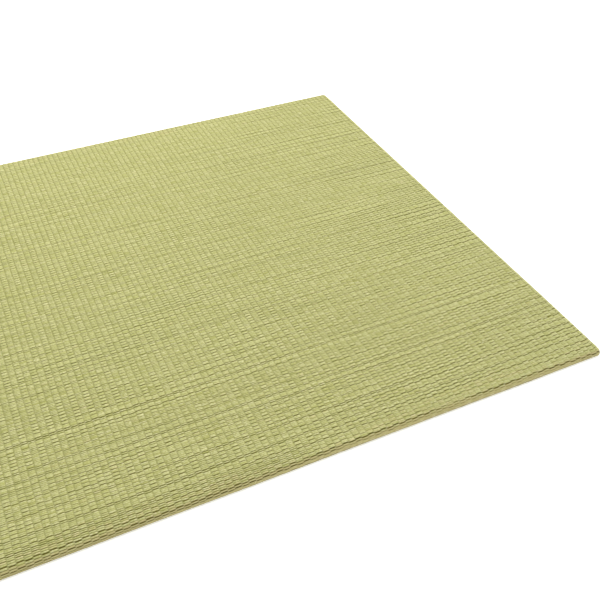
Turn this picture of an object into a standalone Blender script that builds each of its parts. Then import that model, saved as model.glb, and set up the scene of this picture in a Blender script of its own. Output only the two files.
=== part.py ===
"""A borderless unit tatami mat in plain-woven rush: one thick flat piece.

Metres, +Z up. The origin is on the floor under the middle of the mat. X runs along the
rushes and Y along the warps, which stay hidden under the columns that they make.
The facing is folded down round all four sides, so every edge is a soft roll.
"""

import math

import bmesh
import bpy

# Driving dimensions
SIDE = 0.820  # outer size along X and along Y
THICKNESS = 0.011  # from the floor to the crests of the columns
WARP_COLUMNS = 96  # columns across X, one over each warp
COLUMN_RELIEF = 0.0006  # how far a column's crest stands over the grooves beside it
TOP_ROLL = 0.007  # radius of the roll from the top down to the side
FLOOR_ROLL = 0.003  # radius of the roll from the side to the underside
INNER_CORNER = 0.001  # plan radius of the flat top's corners, inside the roll
CORNER_FILL = 0.18  # how much fuller a corner is low down than a round one
TOP_WAVE = 0.00025  # the deepest soft dip in the top
EDGE_WAVE = 0.0006  # the furthest that an edge is drawn in between its full places
WAVE_LENGTH = 0.31  # from one soft dip in the top to the next
EDGE_CROWDING = 1.7  # how much closer together the edge's dips are than the top's

# The soft waves that cross: turns in a wave length along X, along Y, and where each starts
SWELLS = (
    (1.00, 0.00, 1.3),
    (0.00, 0.83, 0.4),
    (0.57, 0.57, 2.1),
)

# Steps of the mesh
TOP_ROLL_STEPS = 3
FLOOR_ROLL_STEPS = 2
STEPS_ALONG_Y = 8
CORNER_STEP = 0.003  # a short first and last step along Y, which keeps the corners' faces even

# Sizes that follow
HALF = SIDE / 2
COLUMN_PITCH = SIDE / WARP_COLUMNS
FLAT_HALF = HALF - TOP_ROLL
CORNER_CENTRE = FLAT_HALF - INNER_CORNER

RUSH_GREEN = (0.565, 0.545, 0.235, 1.0)
RUSH_ROUGHNESS = 0.6


def clear_scene():
    for item in list(bpy.data.objects):
        bpy.data.objects.remove(item, do_unlink=True)


def rush_material():
    """Dried rush: a dull yellow-green straw with a faint gloss."""
    material = bpy.data.materials.new("woven_rush")
    material.use_nodes = True
    shader = material.node_tree.nodes["Principled BSDF"]
    shader.inputs["Base Color"].default_value = RUSH_GREEN
    shader.inputs["Roughness"].default_value = RUSH_ROUGHNESS
    shader.inputs["Metallic"].default_value = 0.0
    return material


def lines_across():
    """(x, groove) for each line of points across the flat top: grooves, crests and the two rims."""
    half_pitch = COLUMN_PITCH / 2
    last = math.floor(FLAT_HALF / half_pitch)
    inner = [(step * half_pitch, step % 2 == 0) for step in range(-last, last + 1)]
    return [(-FLAT_HALF, False), *inner, (FLAT_HALF, False)]


def lines_along():
    """y for each line of points along the flat top."""
    near_rim = FLAT_HALF - CORNER_STEP
    step = 2 * near_rim / STEPS_ALONG_Y
    inner = [-near_rim + step * i for i in range(STEPS_ALONG_Y + 1)]
    return [-FLAT_HALF, *inner, FLAT_HALF]


def soft_wave(x, y):
    """An uneven slow swell with no seam, from 0 to 1."""
    turn = math.tau / WAVE_LENGTH
    waves = [math.sin(turn * (along_x * x + along_y * y) + start) for along_x, along_y, start in SWELLS]
    return (1 + sum(waves) / len(waves)) / 2


def top_height(x, y, groove):
    relief = COLUMN_RELIEF if groove else 0.0
    return THICKNESS - relief - TOP_WAVE * soft_wave(x, y)


def roll_profile():
    """(growth, height, lean) from the flat top's rim down to the underside's rim.

    growth is how far out the profile has come, and lean the angle of its outward normal from
    straight up.
    """
    profile = []
    for step in range(1, TOP_ROLL_STEPS + 1):
        lean = math.pi / 2 * step / TOP_ROLL_STEPS
        growth = TOP_ROLL * math.sin(lean)
        height = THICKNESS - TOP_ROLL * (1 - math.cos(lean))
        profile.append((growth, height, lean))
    for step in range(FLOOR_ROLL_STEPS + 1):
        turn = math.pi / 2 * step / FLOOR_ROLL_STEPS
        growth = TOP_ROLL - FLOOR_ROLL * (1 - math.cos(turn))
        height = FLOOR_ROLL * (1 - math.sin(turn))
        profile.append((growth, height, math.pi / 2 + turn))
    return profile


def rim_points(across, along):
    """(column, row) of each point round the flat top's rim, anticlockwise from the front left."""
    last_column = len(across) - 1
    last_row = len(along) - 1
    front = [(column, 0) for column in range(last_column)]
    right = [(last_column, row) for row in range(last_row)]
    back = [(column, last_row) for column in range(last_column, 0, -1)]
    left = [(0, row) for row in range(last_row, 0, -1)]
    return front + right + back + left


def rim_frame(x, y):
    """The centre that a rim point turns round, and its outward direction in plan."""
    centre_x = max(-CORNER_CENTRE, min(CORNER_CENTRE, x))
    centre_y = max(-CORNER_CENTRE, min(CORNER_CENTRE, y))
    reach = math.hypot(x - centre_x, y - centre_y)
    return centre_x, centre_y, (x - centre_x) / reach, (y - centre_y) / reach


def add_top(mesh, across, along):
    """The flat top's points by (column, row), and its faces."""
    points = {}
    for column, (x, groove) in enumerate(across):
        for row, y in enumerate(along):
            place_x, place_y = x, y
            if max(abs(x), abs(y)) == FLAT_HALF:
                centre_x, centre_y, out_x, out_y = rim_frame(x, y)
                place_x = centre_x + INNER_CORNER * out_x
                place_y = centre_y + INNER_CORNER * out_y
            points[column, row] = mesh.verts.new((place_x, place_y, top_height(x, y, groove)))
    for column in range(len(across) - 1):
        for row in range(len(along) - 1):
            corners = ((column, row), (column + 1, row), (column + 1, row + 1), (column, row + 1))
            mesh.faces.new([points[corner] for corner in corners])
    return points


def roll_point(x, y, groove, station):
    """Where one profile station lies outside the rim point at x, y.

    The columns and the top's dips fade out on the way down, and the underside stays flat.
    """
    growth, height, lean = station
    high = height / THICKNESS
    centre_x, centre_y, out_x, out_y = rim_frame(x, y)
    sunk = COLUMN_RELIEF * high if groove else 0.0
    drawn_in = EDGE_WAVE * soft_wave(EDGE_CROWDING * x, EDGE_CROWDING * y)
    reach = INNER_CORNER + growth - sunk * math.sin(lean) - drawn_in
    diagonal = 2 * abs(out_x * out_y)
    reach *= 1 + CORNER_FILL * (1 - high) * diagonal
    dip = (TOP_WAVE * soft_wave(x, y) + sunk * math.cos(lean)) * high
    return centre_x + reach * out_x, centre_y + reach * out_y, height - max(0.0, dip)


def add_rolled_sides(mesh, across, along, top_points):
    """Rings of points from the flat top's rim down to the floor, and the underside."""
    rim = rim_points(across, along)
    ring = [top_points[place] for place in rim]
    for station in roll_profile():
        lower = []
        for column, row in rim:
            x, groove = across[column]
            lower.append(mesh.verts.new(roll_point(x, along[row], groove, station)))
        for start in range(len(rim)):
            end = (start + 1) % len(rim)
            mesh.faces.new((ring[end], ring[start], lower[start], lower[end]))
        ring = lower
    mesh.faces.new(list(reversed(ring)))


def centre_in_plan(mesh):
    """Puts the middle of the mat's box over the origin."""
    for axis in (0, 1):
        places = [vert.co[axis] for vert in mesh.verts]
        middle = (min(places) + max(places)) / 2
        for vert in mesh.verts:
            vert.co[axis] -= middle


def make_rush_mat():
    """The mat: ribbed top, rolled edges and a flat underside, as one closed solid."""
    across, along = lines_across(), lines_along()
    mesh = bmesh.new()
    top_points = add_top(mesh, across, along)
    add_rolled_sides(mesh, across, along, top_points)
    centre_in_plan(mesh)
    for face in mesh.faces:
        face.smooth = True
    data = bpy.data.meshes.new("rush_mat")
    mesh.to_mesh(data)
    mesh.free()
    data.materials.append(rush_material())
    mat = bpy.data.objects.new("rush_mat", data)
    bpy.context.scene.collection.objects.link(mat)
    return mat


clear_scene()
make_rush_mat()
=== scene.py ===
"""The looks of a borderless unit tatami mat: plain-woven rush, folded down round a thin pad.

Metres, +Z up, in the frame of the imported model. X runs along the rushes, Y along the warps.
Every rush that shows is in the mesh: it rises over one warp, dips under the next, and comes
up again two columns on. The weave is laid out flat first, in woven coordinates, and one
function then puts it on the mat's top, round its rolled edges and over its corners.
"""

import math

import bpy
import numpy as np
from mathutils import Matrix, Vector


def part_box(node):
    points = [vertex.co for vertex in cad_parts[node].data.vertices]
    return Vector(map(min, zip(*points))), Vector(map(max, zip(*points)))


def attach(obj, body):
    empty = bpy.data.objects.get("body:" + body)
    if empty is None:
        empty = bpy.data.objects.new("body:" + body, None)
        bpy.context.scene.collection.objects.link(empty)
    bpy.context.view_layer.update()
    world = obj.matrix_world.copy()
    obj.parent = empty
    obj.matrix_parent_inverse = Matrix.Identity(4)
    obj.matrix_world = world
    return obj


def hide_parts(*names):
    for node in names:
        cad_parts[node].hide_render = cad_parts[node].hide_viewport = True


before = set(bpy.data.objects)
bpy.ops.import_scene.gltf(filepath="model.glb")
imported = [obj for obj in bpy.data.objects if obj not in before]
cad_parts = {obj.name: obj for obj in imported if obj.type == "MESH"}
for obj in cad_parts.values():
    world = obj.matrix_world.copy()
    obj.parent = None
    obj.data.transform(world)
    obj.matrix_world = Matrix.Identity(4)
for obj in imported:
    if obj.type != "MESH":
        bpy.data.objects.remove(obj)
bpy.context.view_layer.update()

# The mat
mat_low, mat_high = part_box("rush_mat")
HALF = (mat_high.x - mat_low.x) / 2
THICKNESS = mat_high.z
TOP_ROLL = 0.007  # radius of the roll from the top down to the side
FLOOR_ROLL = 0.003  # radius of the roll from the side to the underside
INNER_CORNER = 0.001  # plan radius of the flat top's corners, inside the roll
CORNER_FILL = 0.18  # how much fuller a corner is low down than a round one
TOP_WAVE = 0.00025  # the deepest soft dip in the top
EDGE_WAVE = 0.0006  # the furthest that an edge is drawn in between its full places
WAVE_LENGTH = 0.31  # from one soft dip in the top to the next
EDGE_CROWDING = 1.7  # how much closer together the edge's dips are than the top's
EDGE_PROUD = 0.0010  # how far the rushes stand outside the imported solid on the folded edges
NO_LENGTH = 1e-9  # stands in for zero where a length divides
RIM = HALF - TOP_ROLL
CORNER_CENTRE = RIM - INNER_CORNER
TOP_ROLL_END = TOP_ROLL * math.pi / 2
SIDE_END = TOP_ROLL_END + THICKNESS - TOP_ROLL - FLOOR_ROLL
FLOOR_ROLL_END = SIDE_END + FLOOR_ROLL * math.pi / 2

# The soft waves that cross: turns in a wave length along X, along Y, and where each starts
SWELLS = (
    (1.00, 0.00, 1.3),
    (0.00, 0.83, 0.4),
    (0.57, 0.57, 2.1),
)

# The weave. A pick is the pair of rushes laid in one opening of the warps.
COLUMNS_ON_TOP = 96
COLUMN_PITCH = 2 * HALF / COLUMNS_ON_TOP
PICK_PITCH = 0.001325  # between picks; each column shows every second one
COLUMNS = 2 * int((RIM + FLOOR_ROLL_END) / COLUMN_PITCH)
PICKS = 2 * int((RIM + FLOOR_ROLL_END) / PICK_PITCH)
BANDS = 5  # the weave is split across into pieces, so that none is too heavy
EDGE_COLUMNS = 2  # columns at each side that turn down over the roll
SEED = 20
MAP_FILL = 0.98  # how much of its own cell a span fills in the bake map
TURNED_STATIONS = 9  # points along a span that turns down over a side

# One rush pair where it shows, in metres or shares of the column pitch
LEVEL_REACH = 0.37  # share of the pitch, each way, over which the pair lies level
LEVEL_WIDTH = 0.86  # its width where it begins to dive, as a share of the full width
END_REACH = 0.66  # where it has gone under its neighbours
END_DEPTH = 0.00130  # how far it has dived there
END_WIDTH = 0.30  # its width there
END_SHADE = 0.92  # how shaded the ends are, from 0 to 1
FRONT_CALM = 0.4  # how much of that shade is lost towards the front
RIGHT_CALM = 0.90  # how much of what is left is lost towards the front right
SIDE_GROOVES = 0.25  # share of that dive and shade left where the facing is drawn down the side
RUSH_CREST = 0.6  # from the pair's middle to each rush's crest, as a share of half the pair's width
# Places across a pair: front edge, front rush, the line between, back rush, back edge
ACROSS_PAIR = np.array([-1.0, -RUSH_CREST, 0.0, RUSH_CREST, 1.0])
RUSH_VALLEY = 0.00010  # depth of the line between the two rushes of a pair
RUSH_LEAD = 0.00012  # how much lower one rush of a pair may lie than the other
EDGE_DEPTH = 0.00024  # depth of the line between neighbouring pairs that touch
GAP_DEPTH = 1.3  # how much deeper the line gets for each metre that they stand apart
DEEPEST = 0.0011  # that line at its deepest
SHALLOWEST = 0.00006
CREST_LIFT = 0.00012  # how far a pair beside an open gap stands proud
CREST_HIGHLIGHT = 0.6  # painted highlight: how much lighter such a pair is painted, on the scale of its tone
BOW = 0.00030  # how far a pair's middle bows, to the back at the right and to the front at the left
BOW_FULL = 0.2  # distance from the mat's middle, each way, by which the bow is full
BOW_SPREAD = 0.6  # how much more or less it is in a patch, as a share
BOW_PATCH_LENGTH = 0.06  # of such a patch along the warps
BOW_PATCH_WIDTH = 0.12
WIDTH_SPREAD = 0.05  # how much thicker or thinner a pair may be, as a share
HEIGHT_SPREAD = 0.00006  # how much higher or lower it may lie
PLACE_SPREAD = 0.00004  # how far to the front or the back it may lie, as a standard deviation
OWN_TONE = 0.12  # how much lighter or darker a whole rush is, on the scale of its tone
TWIST_TONE = 0.50  # the same where it shows once, by how it is twisted there, as a standard deviation
TONE_LIMIT = 1.8
GROUND_DEPTH = 0.0012  # from the crests down to what shows in an open gap
UNDERSIDE = 0.0003  # how high the underside lies, inside the folded edges that the mat rests on

# Along the rushes, in metres: from one chance value of a quality to its next
WIDTH_DRIFT = 0.09
HEIGHT_DRIFT = 0.03
LEAD_DRIFT = 0.02
TONE_DRIFT = 0.06
STRAW_DRIFT = 0.035
LOOSE_DRIFT = 0.05
GROUP_DRIFT = 0.10
CREASE_DRIFT = 0.04

# Shade in the weave's lines, from 0 to 1
CLOSED_SHADE = 0.06  # between two pairs that touch
OPEN_SHADE = 1.0  # between two pairs at a full gap
FULL_GAP = 0.0005  # metres
VALLEY_SHADE = 0.08  # between the two rushes of a pair
FOOT_SHADE = 0.18  # added where the facing turns under at the floor

# Uneven beating: picks lie in groups, with a dark line between them
GROUP_SIZES = (4, 6, 5)  # picks in a group
GROUP_SHARES = (0.92, 0.05, 0.03)  # how often each size comes
EDGE_PICKS = 2  # picks beside the first and the last one that have no group's gap
ALTERNATE = 0.25  # how much wider every second gap is by the right side, and narrower the others
GROUP_GAP = 0.00095  # a full gap between groups
GROUP_OPEN = 0.8  # how open a gap is on the whole, as a share of that
GROUP_SPREAD = 0.5  # how much more or less open it is along its length
LEAST_OPEN = 0.1
MOST_OPEN = 1.3
FOLD_ROWS = 0.016  # distance from the front and back folds within which the groups are even
FOLD_GROUP = 4  # picks in a group there
FOLD_GAP = 0.00060  # a full gap there
LOOSE_GAP = 0.00010  # the widest gap left anywhere by chance
SQUEEZE_PICKS = 5  # picks each way that close up beside a gap

# Where the groups stand well apart: shares that multiply their gaps
APART = 0.90  # at the front left, on the whole
APART_SPREAD = 0.45  # how much a patch adds or takes
APART_RIGHT = 0.38  # what the right side adds
APART_BACK = 0.10  # what the back adds
APART_BACK_RIGHT = 0.55  # what the back adds to the right side's
LEAST_APART = 0.1
MOST_APART = 1.8
APART_PATCH_LENGTH = 0.045  # of such a patch along the warps
APART_PATCH_WIDTH = 0.11

# Where the gaps between groups step to and fro by one pick from column to column
STEP_PATCH_LENGTH = 0.08  # of such a patch along the warps
STEP_PATCH_WIDTH = 0.2
STEP_RIGHT = 0.9  # how much more they step by the right side
STEP_WIDER = 0.6  # how much wider a stepping gap is, as a share

# At the left of the front fold every pair is slimmer, with a line of its own
FINE_ROWS = 0.026  # distance from the fold within which such lines show
FINE_FULL = 0.018  # distance within which they are full
FINE_FOOT = 0.003  # distance each way from the fold over which they fade out down the side
FINE_START = -0.06  # X up to which they are full
FINE_END = 0.03  # X from which there are none
FINE_SLIM = 0.00012  # how much narrower half of a pair is there

# The mat's strongest dark lines, from the front to the back: distance from the front, left and
# right end as distances from the right side, and how open the line is, as a share of a full gap
CREASES = (
    (-0.0050, 0.80, 0.44, 0.9),
    (0.0043, 0.80, 0.40, 0.9),
    (0.0043, 0.46, 0.00, 1.7),
    (0.014, 0.36, 0.00, 1.0),
    (0.024, 0.80, 0.00, 1.6),
    (0.035, 0.31, 0.00, 1.0),
    (0.038, 0.60, 0.37, 0.9),
    (0.047, 0.20, 0.00, 1.1),
    (0.058, 0.30, 0.00, 1.0),
    (0.062, 0.80, 0.40, 1.0),
    (0.068, 0.35, 0.00, 0.9),
    (0.073, 0.80, 0.45, 0.8),
    (0.079, 0.15, 0.00, 1.2),
    (0.085, 0.80, 0.25, 0.9),
    (0.092, 0.10, 0.00, 1.2),
    (0.102, 0.30, 0.00, 1.1),
    (0.112, 0.22, 0.00, 0.9),
    (0.122, 0.22, 0.00, 1.0),
    (0.126, 0.80, 0.37, 0.8),
    (0.142, 0.25, 0.00, 1.0),
    (0.152, 0.35, 0.00, 1.0),
    (0.168, 0.80, 0.37, 0.8),
    (0.174, 0.45, 0.00, 1.3),
    (0.185, 0.25, 0.00, 1.0),
    (0.196, 0.30, 0.00, 1.4),
    (0.201, 0.80, 0.35, 1.1),
    (0.217, 0.45, 0.00, 1.6),
    (0.243, 0.80, 0.60, 0.7),
    (0.269, 0.26, 0.00, 1.1),
    (0.283, 0.80, 0.50, 0.8),
    (0.294, 0.80, 0.37, 1.0),
    (0.300, 0.09, 0.00, 1.0),
    (0.326, 0.80, 0.00, 1.7),
    (0.347, 0.80, 0.60, 0.8),
    (0.359, 0.80, 0.30, 1.0),
    (0.366, 0.42, 0.00, 1.3),
    (0.384, 0.80, 0.52, 1.1),
    (0.388, 0.28, 0.00, 1.2),
    (0.404, 0.80, 0.27, 0.9),
    (0.445, 0.80, 0.53, 1.2),
    (0.460, 0.50, 0.10, 1.1),
    (0.510, 0.80, 0.57, 1.0),
    (0.539, 0.20, 0.00, 1.1),
    (0.547, 0.45, 0.00, 1.6),
    (0.579, 0.30, 0.00, 1.1),
    (0.629, 0.16, 0.00, 1.3),
    (0.653, 0.25, 0.00, 1.1),
    (0.703, 0.30, 0.00, 1.5),
    (0.776, 0.24, 0.00, 1.7),
    (0.811, 0.70, 0.25, 1.2),
)
CREASE_GAP = 0.00048  # a full gap of this kind
CREASE_UNEVEN = 0.5  # how much wider or narrower it may be along its length, as a share
CREASE_DASH = 0.35  # share of it that opens one pick later, so that every second column's is fuller
CREASE_FADE = 0.06  # length over which a line opens at its ends

# How the rows wander from straight, in metres
LEFT_SAG = 0.0042  # how far the rows lean to the front by the left side
SAG_START = 0.08  # X from which they begin to lean
SAG_LENGTH = 0.544  # over which they come to lean in full
SAG_LOSS = 0.7  # share of that lean which is lost beside the front edge
LOSS_START = 0.22  # distance from the front edge within which it is lost
LOSS_FULL = 0.02
FRONT_SAG = 0.0030  # a lean at the left that only the frontmost rows have
RIGHT_SAG = 0.0042  # the drop of the frontmost rows into the right corner
RIGHT_SAG_LENGTH = 0.13
FRONT_ROWS = 0.016  # how far from the front edge these two reach

# Camera, matched to the photograph
LENS = 49.965  # millimetres, on a sensor 36 mm wide
SENSOR = 36.0
CAMERA_PLACE = (-0.2904, -0.9608, 0.7675)
CAMERA_TILT = math.radians(49.855)
CAMERA_TURN = math.radians(-25.215)

# Colours of the rush, as sRGB
STEM_GREEN = "9e9e57"
STEM_YELLOW = "c7c393"
STRAW_PINK = "c3b084"
STREAK_OLIVE = "979853"
BAND_GREEN = "a0a168"
SHADE_OLIVE = "8f8c0c"  # painted shade: multiplies the rush's own colour by the rush_shade value, in the weave's lines, at the spans' dipping ends and at the foot
SIDE_TAN = "aea26f"
# The ground's colours are darker than the stems: painted shade in the open gaps and underneath
UNDER_GREEN = "746b1e"
UNDER_STRAW = "7e7224"
UNDER_LINE = "504b16"

# The rush's finish. Lengths lie along the rushes and widths across them, in metres, and a share
# says how far a colour goes in.
FIBRE_LENGTH = 0.004  # of the fine grooves along a stem
FIBRE_WIDTH = 0.00015
FIBRE_DETAIL = 2.0  # how many finer layers the chance pattern has
FIBRE_BUMP = 0.4
STEM_GLOSS = 0.25
SMOOTH_STEM = 0.42  # roughness between a stem's grooves
ROUGH_STEM = 0.68  # roughness in them
TONE_FULL = 1.0  # tone from which a rush is all yellow, and all green at the same below zero
STREAK_LENGTH = 0.0030
STREAK_WIDTH = 0.0012
STREAK_LOW = 0.36  # value of the chance pattern at which a streak begins
STREAK_HIGH = 0.64  # value at which it is full
STREAK_SHARE = 0.9
STRAW_START = 0.80  # how strawy a rush is, from 0 to 1, before it shows
STRAW_SHARE = 0.4
STRAW_FOLD = 0.85  # how much more strawy it is beside the front and back folds
STRAW_FOLD_ROWS = 0.03  # distance from them within which it is
BAND_LENGTH = 0.30  # a band is many rushes of one dull harvest, so it is far coarser than a rush
BAND_WIDTH = 0.012
BAND_LOW = 0.45
BAND_HIGH = 0.75
BAND_SHARE = 0.4
TAN_START = 0.0097  # height below which the side goes tan
TAN_FULL = 0.0088
TAN_SHARE = 0.6
UNDER_LINE_WIDTH = 0.0003  # between the rushes' undersides
UNDER_ROUGHNESS = 0.8

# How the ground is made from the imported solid, in metres
JOIN_WITHIN = 0.00001  # corners that lie nearer together than this become one
UNDERSIDE_TOP = 0.00132  # the drawn-in solid's corners below this are its underside

# Sockets of a colour Mix node
SHARE, FIRST, SECOND, RESULT = 0, 6, 7, 2

# Light
SKY_STRENGTH = 0.94
SOFTBOX_PLACE = (0.0, 0.80, 1.4)
SOFTBOX_SIZE = 1.4
SOFTBOX_POWER = 18.0
WINDOW_WIDTH = math.radians(40)  # angle that the far light fills, as seen from the mat
WINDOW_TILT = math.radians(55)  # from straight down
WINDOW_TURN = math.radians(105)  # so that it comes from the right and a little from the back
WINDOW_STRENGTH = 1.4
WHITE = (1.0, 1.0, 1.0, 1.0)
FLOOR_COLOUR = (0.9, 0.9, 0.9, 1.0)
FLOOR_ROUGHNESS = 0.9
FLOOR_GLOW = 0.32
FLOOR_SIZE = 14.0


def linear(hex_colour):
    """An sRGB colour, as six hex digits, in linear RGBA."""
    channels = [int(hex_colour[i : i + 2], 16) / 255 for i in (0, 2, 4)]
    line = [c / 12.92 if c <= 0.04045 else ((c + 0.055) / 1.055) ** 2.4 for c in channels]
    return (*line, 1.0)


def add_camera():
    data = bpy.data.cameras.new("camera")
    data.lens = LENS
    data.sensor_width = SENSOR
    camera = bpy.data.objects.new("camera", data)
    camera.location = CAMERA_PLACE
    camera.rotation_euler = (CAMERA_TILT, 0.0, CAMERA_TURN)
    bpy.context.scene.collection.objects.link(camera)
    bpy.context.scene.camera = camera


def soft_wave(x, y):
    """An uneven slow swell with no seam, from 0 to 1."""
    turn = math.tau / WAVE_LENGTH
    waves = [np.sin(turn * (along_x * x + along_y * y) + start) for along_x, along_y, start in SWELLS]
    return (1 + sum(waves) / len(waves)) / 2


def roll_profile(past_rim):
    """How far out from the flat top's rim, how high and how far turned the facing is past it."""
    turned_top = np.clip(past_rim, 0, TOP_ROLL_END) / TOP_ROLL
    down_side = np.clip(past_rim - TOP_ROLL_END, 0, SIDE_END - TOP_ROLL_END)
    turned_floor = np.clip(past_rim - SIDE_END, 0, FLOOR_ROLL_END - SIDE_END) / FLOOR_ROLL
    under = np.maximum(past_rim - FLOOR_ROLL_END, 0)
    out = np.minimum(past_rim, 0) + TOP_ROLL * np.sin(turned_top)
    out = out - FLOOR_ROLL * (1 - np.cos(turned_floor)) - under
    height = THICKNESS - TOP_ROLL * (1 - np.cos(turned_top)) - down_side
    height = height - FLOOR_ROLL * np.sin(turned_floor)
    return out, height, turned_top + turned_floor


def onto_mat(across, along, lift):
    """Points on the mat, from woven coordinates and the lift off the facing's mean crests."""
    centre_x = np.clip(across, -CORNER_CENTRE, CORNER_CENTRE)
    centre_y = np.clip(along, -CORNER_CENTRE, CORNER_CENTRE)
    off_x = across - centre_x
    off_y = along - centre_y
    past = np.hypot(off_x, off_y)
    out_x = off_x / np.maximum(past, NO_LENGTH)
    out_y = off_y / np.maximum(past, NO_LENGTH)
    out, height, lean = roll_profile(past - INNER_CORNER)
    on_edge = np.clip((past - INNER_CORNER) / TOP_ROLL, 0, 1)
    drawn_in = EDGE_WAVE * soft_wave(EDGE_CROWDING * across, EDGE_CROWDING * along) * on_edge
    high = height / THICKNESS
    reach = INNER_CORNER + out + lift * np.sin(lean) - drawn_in + EDGE_PROUD * on_edge
    reach = reach * (1 + CORNER_FILL * (1 - high) * 2 * np.abs(out_x * out_y))
    dip = TOP_WAVE * soft_wave(across, along) * high
    x = centre_x + reach * out_x
    y = centre_y + reach * out_y
    return np.stack([x, y, height + lift * np.cos(lean) - dip], axis=-1)


def smooth_steps(places, knot_gap, shift):
    """The knot before each place, and the smooth share of the way to the next."""
    steps = (places - places.min()) / knot_gap + shift
    low = np.floor(steps).astype(int)
    part = steps - low
    return low, part * part * (3 - 2 * part)


def drifting(rng, rows, places, knot_gap):
    """For each row a smooth chance line along places, from -1 to 1."""
    low, share = smooth_steps(places[None, :], knot_gap, rng.uniform(0, 1, (rows, 1)))
    knots = rng.uniform(-1, 1, (rows, low.max() + 2))
    before = np.take_along_axis(knots, low, axis=1)
    after = np.take_along_axis(knots, low + 1, axis=1)
    return before * (1 - share) + after * share


def patches(rng, along, across, size_along, size_across):
    """Smooth chance patches over the weave, from -1 to 1."""
    low, share = smooth_steps(along, size_along, 0.0)
    knots = drifting(rng, low.max() + 2, across, size_across)
    return knots[low] * (1 - share[:, None]) + knots[low + 1] * share[:, None]


def fade_in(value, start, end):
    """0 at start and 1 at end, smooth between."""
    part = np.clip((value - start) / (end - start), 0, 1)
    return part * part * (3 - 2 * part)


def row_wander(across, along):
    """How far a row at this place lies from its straight line."""
    left = fade_in(across, SAG_START, SAG_START - SAG_LENGTH)
    lost = SAG_LOSS * fade_in(along, LOSS_START - HALF, LOSS_FULL - HALF)
    front_rows = fade_in(along, FRONT_ROWS - HALF, -HALF)
    right = fade_in(across, HALF - RIGHT_SAG_LENGTH, HALF)
    return -LEFT_SAG * left * (1 - lost) - front_rows * (FRONT_SAG * left + RIGHT_SAG * right)


def next_group(rng, pick, strong_lines, at_fold):
    """Where the next group ends: at a strong line if one is near, else after its own size."""
    size = FOLD_GROUP if at_fold else rng.choice(GROUP_SIZES, p=GROUP_SHARES)
    near = [line for line in strong_lines if pick + size / 2 < line <= pick + size + 1]
    if near:
        size = near[0] - pick
        size -= size % 2
    return pick + size


def how_far_apart(rng, pick_y, column_x, to_right):
    """What multiplies the gaps between groups at each pick and column."""
    patchy = APART_SPREAD * patches(rng, pick_y, column_x, APART_PATCH_LENGTH, APART_PATCH_WIDTH)
    to_back = fade_in(pick_y, -HALF, HALF)[:, None]
    right = to_right * (APART_RIGHT + APART_BACK_RIGHT * to_back)
    return np.clip(APART + patchy + right + APART_BACK * to_back, LEAST_APART, MOST_APART)


def group_gaps(rng, pick_y, column_x):
    """The gap after each pick at each column, and the last pick of each group that beating leaves."""
    to_right = fade_in(column_x, 0.0, HALF)
    apart = how_far_apart(rng, pick_y, column_x, to_right)
    stepping = patches(rng, pick_y, column_x, STEP_PATCH_LENGTH, STEP_PATCH_WIDTH)
    stepping = np.clip(stepping + STEP_RIGHT * to_right, 0, 1)
    gaps = LOOSE_GAP * np.abs(drifting(rng, PICKS, column_x, LOOSE_DRIFT))
    strong_lines = [int(np.argmin(np.abs(pick_y - (line[0] - HALF)))) for line in CREASES]
    ends = []
    pick = EDGE_PICKS
    while pick < PICKS - EDGE_PICKS:
        uneven = GROUP_SPREAD * drifting(rng, 1, column_x, GROUP_DRIFT)[0]
        at_fold = abs(pick_y[pick]) > HALF - FOLD_ROWS
        size = np.clip(GROUP_OPEN + uneven, LEAST_OPEN, MOST_OPEN)
        step = 1.0
        if at_fold:
            size = FOLD_GAP * size
        else:
            size = GROUP_GAP * size * apart[pick]
            size = size * (1 + ALTERNATE * to_right * (-1) ** len(ends))
            step = stepping[pick]
        gaps[pick] += size / 2 * (1 + STEP_WIDER * step)
        gaps[pick + 1] += size / 2 * (1 - step)
        ends.append(pick)
        pick = next_group(rng, pick, strong_lines, at_fold)
    return gaps, np.array(ends)


def add_creases(rng, gaps, ends, pick_y, column_x):
    """Opens the strongest dark lines, each beside the same group's last pick all along."""
    for from_front, left_end, right_end, share in CREASES:
        pick = ends[np.argmin(np.abs(pick_y[ends] - (from_front - HALF)))]
        from_right = HALF - column_x
        open_part = fade_in(from_right, left_end, left_end - CREASE_FADE)
        open_part = open_part * fade_in(from_right, right_end - CREASE_FADE, right_end)
        uneven = 1 + CREASE_UNEVEN * drifting(rng, 1, column_x, CREASE_DRIFT)[0]
        opening = CREASE_GAP * share * open_part * uneven
        later = CREASE_DASH if from_front > FOLD_ROWS else 0.0
        gaps[pick] = np.maximum(gaps[pick], (1 - later) * opening)
        gaps[pick + 1] = np.maximum(gaps[pick + 1], later * opening)


def close_up(gaps):
    """How far each pick is pushed along by the gaps near it, with no drift over the whole mat."""
    reach = np.ones(2 * SQUEEZE_PICKS + 1)
    weight = np.convolve(np.ones(PICKS), reach, "same")
    mean = np.stack([np.convolve(line, reach, "same") / weight for line in gaps.T], axis=1)
    push = np.cumsum(gaps - mean, axis=0)
    push = np.vstack([np.zeros((1, COLUMNS)), push[:-1]])
    return push - push.mean(axis=0)


def rush_tone(rng, column_x):
    """How light each rush is at each column: its own shade, and how it is twisted there."""
    own = drifting(rng, PICKS, column_x, TONE_DRIFT)
    twisted = rng.normal(size=(PICKS, COLUMNS))
    return np.clip(OWN_TONE * own + TWIST_TONE * twisted, -TONE_LIMIT, TONE_LIMIT)


def slimmer(pick_y, column_x):
    """How much narrower half of a pair is, at the left of the front fold."""
    rows = fade_in(pick_y, FINE_ROWS - HALF, FINE_FULL - HALF)
    rows = rows * fade_in(pick_y, -HALF - FINE_FOOT, -HALF + FINE_FOOT)
    return FINE_SLIM * rows[:, None] * fade_in(column_x, FINE_END, FINE_START)


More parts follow.
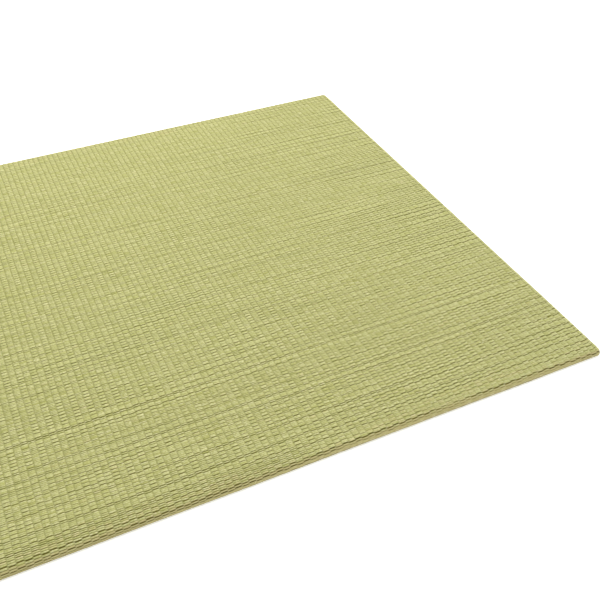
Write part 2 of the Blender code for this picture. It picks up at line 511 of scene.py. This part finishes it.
def lay_weave(rng):
    """Everything about the picks that the spans and the colours are worked out from."""
    column_x = (np.arange(COLUMNS) - (COLUMNS - 1) / 2) * COLUMN_PITCH
    pick_y = (np.arange(PICKS) - (PICKS - 1) / 2) * PICK_PITCH
    gaps, ends = group_gaps(rng, pick_y, column_x)
    add_creases(rng, gaps, ends, pick_y, column_x)
    place = pick_y[:, None] + close_up(gaps)
    wander = row_wander(column_x[None, :], place)
    stretch = 1 + np.gradient(wander, axis=0) / PICK_PITCH
    place = place + wander
    jitter = PLACE_SPREAD * rng.normal(size=(PICKS, COLUMNS))
    thickness = 1 + WIDTH_SPREAD * drifting(rng, PICKS, column_x, WIDTH_DRIFT)
    bow = BOW_SPREAD * patches(rng, pick_y, column_x, BOW_PATCH_LENGTH, BOW_PATCH_WIDTH)
    bow = np.clip(column_x / BOW_FULL, -1, 1) + bow
    folded = fade_in(np.abs(pick_y), HALF - STRAW_FOLD_ROWS, HALF)
    return {
        "column_x": column_x,
        "place": place + jitter,
        "slope": np.gradient(place, axis=1) / COLUMN_PITCH,
        "width": PICK_PITCH * stretch * thickness - slimmer(pick_y, column_x),
        "bow": BOW * bow,
        "lead": drifting(rng, PICKS, column_x, LEAD_DRIFT),
        "height": HEIGHT_SPREAD * drifting(rng, PICKS, column_x, HEIGHT_DRIFT),
        "tone_front": rush_tone(rng, column_x),
        "tone_back": rush_tone(rng, column_x),
        "straw": drifting(rng, PICKS, column_x, STRAW_DRIFT) + STRAW_FOLD * folded[:, None],
    }


def span_stations(detailed):
    """Along a span: distance from the column's middle, dive from 0 to 1, and share of the full width."""
    shares = np.array([-END_REACH, -LEVEL_REACH, LEVEL_REACH, END_REACH])
    if detailed:
        shares = np.linspace(-END_REACH, END_REACH, TURNED_STATIONS)
    dive = np.clip((np.abs(shares) - LEVEL_REACH) / (END_REACH - LEVEL_REACH), 0, 1)
    widths = np.interp(np.abs(shares), [0, LEVEL_REACH, END_REACH], [1, LEVEL_WIDTH, END_WIDTH])
    return shares * COLUMN_PITCH, dive, widths


def line_depths(weave):
    """The depth of the line on the back side of each pick, and how open it is from 0 to 1."""
    place = weave["place"]
    width = weave["width"]
    apart = np.zeros_like(place)
    apart[:-2] = place[2:] - place[:-2] - width[2:] - width[:-2]
    depth = np.clip(EDGE_DEPTH + GAP_DEPTH * apart, SHALLOWEST, DEEPEST)
    open_part = np.clip(apart / FULL_GAP, 0, 1)
    return depth, open_part


def across_pair(weave, pick, column):
    """Across each pair, by ACROSS_PAIR: how far sunk, how shaded and how light it is."""
    depth, open_part = line_depths(weave)
    front_pick = np.maximum(pick - 2, 0)
    open_front = open_part[front_pick, column]
    open_back = open_part[pick, column]
    lead = weave["lead"][pick, column]
    zero = np.zeros_like(lead)
    sunk = [
        depth[front_pick, column],
        np.maximum(-lead, 0) * RUSH_LEAD - CREST_LIFT * open_front,
        zero + RUSH_VALLEY,
        np.maximum(lead, 0) * RUSH_LEAD - CREST_LIFT * open_back,
        depth[pick, column],
    ]
    line_shade = CLOSED_SHADE + (OPEN_SHADE - CLOSED_SHADE) * np.stack([open_front, open_back])
    shade = [line_shade[0], zero, zero + VALLEY_SHADE, zero, line_shade[1]]
    # Painted highlight on a pair beside an open gap, added to its tone
    front = weave["tone_front"][pick, column] + CREST_HIGHLIGHT * open_front
    back = weave["tone_back"][pick, column] + CREST_HIGHLIGHT * open_back
    tone = [front, front, (front + back) / 2, back, back]
    return [np.stack(values, axis=1) for values in (sunk, shade, tone)]


def end_shade(place, column_x, grooves):
    """How shaded each span's ends are: less to the front, and less still to the front right."""
    to_front = fade_in(place, HALF, -HALF)
    to_right = fade_in(column_x, 0.0, HALF)
    calm = (1 - FRONT_CALM * to_front) * (1 - RIGHT_CALM * to_right * to_front)
    return END_SHADE * grooves * calm


def build_spans(weave, picks, columns, detailed):
    """Points, attributes and maps of the spans where these picks show in these columns."""
    pick, column = np.meshgrid(picks, columns, indexing="ij")
    shown = (pick + column) % 2 == 0
    pick, column = pick[shown], column[shown]
    sunk, shade, tone = across_pair(weave, pick, column)
    along_span, dive, width_shares = span_stations(detailed)
    shape = (len(pick), len(along_span), len(ACROSS_PAIR))
    place = weave["place"][pick, column]
    column_x = weave["column_x"][column]
    grooves = 1 - (1 - SIDE_GROOVES) * fade_in(np.abs(place), RIM, RIM + TOP_ROLL_END)

    across = column_x[:, None, None] + along_span[None, :, None] + np.zeros(shape)
    middle = place[:, None] + weave["slope"][pick, column][:, None] * along_span
    middle = middle + weave["bow"][pick, column][:, None] * (1 - 2 * dive)
    half_width = weave["width"][pick, column][:, None] * width_shares
    along = middle[:, :, None] + half_width[:, :, None] * ACROSS_PAIR
    dive = dive[None, :, None]
    drop = END_DEPTH * grooves[:, None, None] * dive
    lift = weave["height"][pick, column][:, None, None] - drop - sunk[:, None, :]
    ends = end_shade(place, column_x, grooves)[:, None, None] * dive
    foot = FOOT_SHADE * fade_in(np.abs(along), RIM + SIDE_END - FLOOR_ROLL, RIM + FLOOR_ROLL_END)

    cell = MAP_FILL * along_span / COLUMN_PITCH / (2 * END_REACH)
    u = (column[:, None, None] + 0.5 + cell[None, :, None]) / COLUMNS + np.zeros(shape)
    v = (pick[:, None, None] - picks[0] + 1 + MAP_FILL * ACROSS_PAIR) / (len(picks) + 1)
    v = v + np.zeros(shape)
    return {
        "points": onto_mat(across, along, lift).reshape(-1, 3),
        "bake_map": np.stack([u, v], axis=-1).reshape(-1, 2),
        "weave_map": np.stack([across, along], axis=-1).reshape(-1, 2),
        "rush_tone": (tone[:, None, :] + np.zeros(shape)).reshape(-1),
        "rush_straw": (weave["straw"][pick, column][:, None, None] + np.zeros(shape)).reshape(-1),
        "rush_shade": (shade[:, None, :] * (1 - dive) + ends + foot).reshape(-1),
        "faces": grid_faces(*shape),
    }


def grid_faces(spans, stations, sides):
    """Quads over each span's own grid of points."""
    corner = np.arange(stations * sides).reshape(stations, sides)
    near = corner[:-1, :-1].ravel()
    quads = np.stack([near, near + sides, near + sides + 1, near + 1], axis=1)
    starts = np.arange(spans) * stations * sides
    return (starts[:, None, None] + quads[None]).reshape(-1, 4)


def join_grids(grids):
    """One set of arrays from several, with the faces counted on."""
    joined = {key: np.concatenate([grid[key] for grid in grids]) for key in grids[0] if key != "faces"}
    starts = np.cumsum([0] + [len(grid["points"]) for grid in grids[:-1]])
    joined["faces"] = np.concatenate([grid["faces"] + start for grid, start in zip(grids, starts)])
    return joined


def make_mesh_piece(name, grid, material):
    mesh = bpy.data.meshes.new(name)
    mesh.from_pydata(grid["points"].tolist(), [], grid["faces"].tolist())
    mesh.shade_smooth()
    corners = grid["faces"].ravel()
    for map_name, key in (("OFBake", "bake_map"), ("weave", "weave_map")):
        layer = mesh.uv_layers.new(name=map_name)
        layer.data.foreach_set("uv", grid[key][corners].ravel())
    for key in ("rush_tone", "rush_straw", "rush_shade"):
        attribute = mesh.attributes.new(key, "FLOAT", "POINT")
        attribute.data.foreach_set("value", grid[key])
    mesh.materials.append(material)
    piece = bpy.data.objects.new(name, mesh)
    bpy.context.scene.collection.objects.link(piece)
    return piece


def weave_bands(material):
    """The facing's rushes, in bands from the front to the back."""
    weave = lay_weave(np.random.default_rng(SEED))
    limits = np.linspace(0, PICKS, BANDS + 1).astype(int)
    edges = [*range(EDGE_COLUMNS), *range(COLUMNS - EDGE_COLUMNS, COLUMNS)]
    pieces = []
    for number in range(BANDS):
        picks = np.arange(limits[number], limits[number + 1])
        flat = build_spans(weave, picks, np.arange(EDGE_COLUMNS, COLUMNS - EDGE_COLUMNS), False)
        turned = build_spans(weave, picks, np.array(edges), True)
        pieces.append(make_mesh_piece(f"rush_rows_{number + 1}", join_grids([flat, turned]), material))
    return pieces


def add_node(tree, kind, settings=None, inputs=None):
    """A node with its settings, and its inputs by name or number: other nodes' outputs, or values."""
    node = tree.nodes.new(kind)
    for name, value in (settings or {}).items():
        setattr(node, name, value)
    for name, value in (inputs or {}).items():
        if isinstance(value, bpy.types.NodeSocket):
            tree.links.new(value, node.inputs[name])
        else:
            node.inputs[name].default_value = value
    return node


def map_range(tree, value, low, high, most):
    """0 where the value is low and most where it is high, in a straight line between."""
    inputs = {"Value": value, "From Min": low, "From Max": high, "To Max": most}
    return add_node(tree, "ShaderNodeMapRange", None, inputs).outputs["Result"]


def mix_colour(tree, share, first, second, blend="MIX"):
    """The first colour, with this share of the second mixed in."""
    settings = {"data_type": "RGBA", "blend_type": blend}
    inputs = {SHARE: share, FIRST: first, SECOND: second}
    return add_node(tree, "ShaderNodeMix", settings, inputs).outputs[RESULT]


def rush_value(tree, name):
    """One of the values that the mesh carries at each point."""
    return add_node(tree, "ShaderNodeAttribute", {"attribute_name": name}).outputs["Fac"]


def fibre_pattern(tree, length, width):
    """Chance streaks of this length and width that run along the rushes, from 0 to 1."""
    woven = add_node(tree, "ShaderNodeUVMap", {"uv_map": "weave"})
    scale = (1 / length, 1 / width, 1.0)
    inputs = {"Vector": woven.outputs["UV"], "Scale": scale}
    scaled = add_node(tree, "ShaderNodeMapping", None, inputs)
    inputs = {"Vector": scaled.outputs["Vector"], "Scale": 1.0, "Detail": FIBRE_DETAIL}
    return add_node(tree, "ShaderNodeTexNoise", None, inputs).outputs["Fac"]


def stem_colour(tree):
    """Green to yellow by the rush, with pinkish straw in short stretches, and fine streaks."""
    yellow = map_range(tree, rush_value(tree, "rush_tone"), -TONE_FULL, TONE_FULL, 1.0)
    stem = mix_colour(tree, yellow, linear(STEM_GREEN), linear(STEM_YELLOW))
    straw = map_range(tree, rush_value(tree, "rush_straw"), STRAW_START, 1.0, STRAW_SHARE)
    stem = mix_colour(tree, straw, stem, linear(STRAW_PINK))
    streaks = fibre_pattern(tree, STREAK_LENGTH, STREAK_WIDTH)
    streaks = map_range(tree, streaks, STREAK_LOW, STREAK_HIGH, STREAK_SHARE)
    return mix_colour(tree, streaks, stem, linear(STREAK_OLIVE))


def bands_and_side_tan(tree, stem):
    """Duller bands along the rushes, and the folded sides mixed towards tan below a set height."""
    bands = fibre_pattern(tree, BAND_LENGTH, BAND_WIDTH)
    bands = map_range(tree, bands, BAND_LOW, BAND_HIGH, BAND_SHARE)
    banded = mix_colour(tree, bands, stem, linear(BAND_GREEN))
    place = add_node(tree, "ShaderNodeTexCoord").outputs["Object"]
    height = add_node(tree, "ShaderNodeSeparateXYZ", None, {"Vector": place}).outputs["Z"]
    down_side = map_range(tree, height, TAN_START, TAN_FULL, TAN_SHARE)
    return mix_colour(tree, down_side, banded, linear(SIDE_TAN))


def rush_material():
    """Igusa rush, dried and sun-faded: a waxy stem, a little glossy, with fine grooves along it.

    Each stem keeps its own green or straw where it shows, so the weave reads rush by rush.
    """
    material = bpy.data.materials.new("woven_igusa_rush")
    material.use_nodes = True
    tree = material.node_tree
    shader = tree.nodes["Principled BSDF"]
    stem = bands_and_side_tan(tree, stem_colour(tree))
    # Painted shade: the rush_shade value darkens the stem's colour in the weave's lines, at the spans'
    # dipping ends and where the facing turns under at the floor
    colour = mix_colour(tree, rush_value(tree, "rush_shade"), stem, linear(SHADE_OLIVE), "MULTIPLY")
    tree.links.new(colour, shader.inputs["Base Color"])

    fibres = fibre_pattern(tree, FIBRE_LENGTH, FIBRE_WIDTH)
    inputs = {"Value": fibres, "To Min": SMOOTH_STEM, "To Max": ROUGH_STEM}
    roughness = add_node(tree, "ShaderNodeMapRange", None, inputs)
    tree.links.new(roughness.outputs["Result"], shader.inputs["Roughness"])
    shader.inputs["Specular IOR Level"].default_value = STEM_GLOSS
    inputs = {"Height": fibres, "Strength": FIBRE_BUMP, "Distance": FIBRE_WIDTH}
    grooves = add_node(tree, "ShaderNodeBump", None, inputs)
    tree.links.new(grooves.outputs["Normal"], shader.inputs["Normal"])
    return material


def make_ground(material):
    """What shows between the rushes and underneath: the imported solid, drawn in under the weave."""
    bpy.ops.object.select_all(action="DESELECT")
    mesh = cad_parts["rush_mat"].data.copy()
    mesh.name = "rush_ground"
    ground = bpy.data.objects.new("rush_ground", mesh)
    bpy.context.scene.collection.objects.link(ground)
    bpy.context.view_layer.objects.active = ground
    ground.select_set(True)
    bpy.ops.object.mode_set(mode="EDIT")
    bpy.ops.mesh.select_all(action="SELECT")
    bpy.ops.mesh.remove_doubles(threshold=JOIN_WITHIN)
    bpy.ops.transform.shrink_fatten(value=-GROUND_DEPTH)
    bpy.ops.object.mode_set(mode="OBJECT")
    for corner in mesh.vertices:
        if corner.co.z < UNDERSIDE_TOP:
            corner.co.z = UNDERSIDE
    mesh.materials.clear()
    mesh.materials.append(material)
    return ground


def ground_material():
    """The undersides of the same rushes, out of the light: painted browner and darker than the stems as
    painted shade, and dull, so the gaps read deep.
    """
    material = bpy.data.materials.new("rush_ground")
    material.use_nodes = True
    tree = material.node_tree
    shader = tree.nodes["Principled BSDF"]
    place = add_node(tree, "ShaderNodeTexCoord").outputs["Object"]
    inputs = {"Vector": place, "Rotation": (0.0, 0.0, math.pi / 2)}
    turned = add_node(tree, "ShaderNodeMapping", None, inputs)
    inputs = {
        "Vector": turned.outputs["Vector"],
        "Color1": linear(UNDER_GREEN),
        "Color2": linear(UNDER_STRAW),
        "Mortar": linear(UNDER_LINE),
        "Scale": 1.0,
        "Mortar Size": UNDER_LINE_WIDTH,
        "Mortar Smooth": 1.0,
        "Brick Width": 2 * PICK_PITCH,
        "Row Height": COLUMN_PITCH,
    }
    picks = add_node(tree, "ShaderNodeTexBrick", {"offset": 0.5}, inputs)
    tree.links.new(picks.outputs["Color"], shader.inputs["Base Color"])
    shader.inputs["Roughness"].default_value = UNDER_ROUGHNESS
    return material


def add_floor():
    """A lit white acrylic sheet under the mat, as in a product photograph: it hides most of the shadow."""
    bpy.ops.mesh.primitive_plane_add(size=FLOOR_SIZE, location=(0, 0, 0))
    floor = bpy.context.object
    floor.name = "floor"
    material = bpy.data.materials.new("lit_acrylic_floor")
    material.use_nodes = True
    shader = material.node_tree.nodes["Principled BSDF"]
    shader.inputs["Base Color"].default_value = FLOOR_COLOUR
    shader.inputs["Roughness"].default_value = FLOOR_ROUGHNESS
    shader.inputs["Emission Color"].default_value = WHITE
    shader.inputs["Emission Strength"].default_value = FLOOR_GLOW
    floor.data.materials.append(material)


def add_light():
    """A white room, a soft box high over the back of the mat, and a broad far light."""
    world = bpy.data.worlds.new("studio")
    world.use_nodes = True
    sky = world.node_tree.nodes["Background"]
    sky.inputs["Color"].default_value = WHITE
    sky.inputs["Strength"].default_value = SKY_STRENGTH
    bpy.context.scene.world = world
    data = bpy.data.lights.new("softbox", "AREA")
    data.size = SOFTBOX_SIZE
    data.energy = SOFTBOX_POWER
    softbox = bpy.data.objects.new("softbox", data)
    softbox.location = SOFTBOX_PLACE
    bpy.context.scene.collection.objects.link(softbox)
    data = bpy.data.lights.new("window", "SUN")
    data.angle = WINDOW_WIDTH
    data.energy = WINDOW_STRENGTH
    window = bpy.data.objects.new("window", data)
    window.rotation_euler = (WINDOW_TILT, 0.0, WINDOW_TURN)
    bpy.context.scene.collection.objects.link(window)
    bpy.context.scene.view_settings.view_transform = "Standard"


add_camera()
rush = rush_material()
ground = make_ground(ground_material())
bands = weave_bands(rush)
for piece in [ground, *bands]:
    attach(piece, "root")
    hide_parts("rush_mat")
add_floor()
add_light()
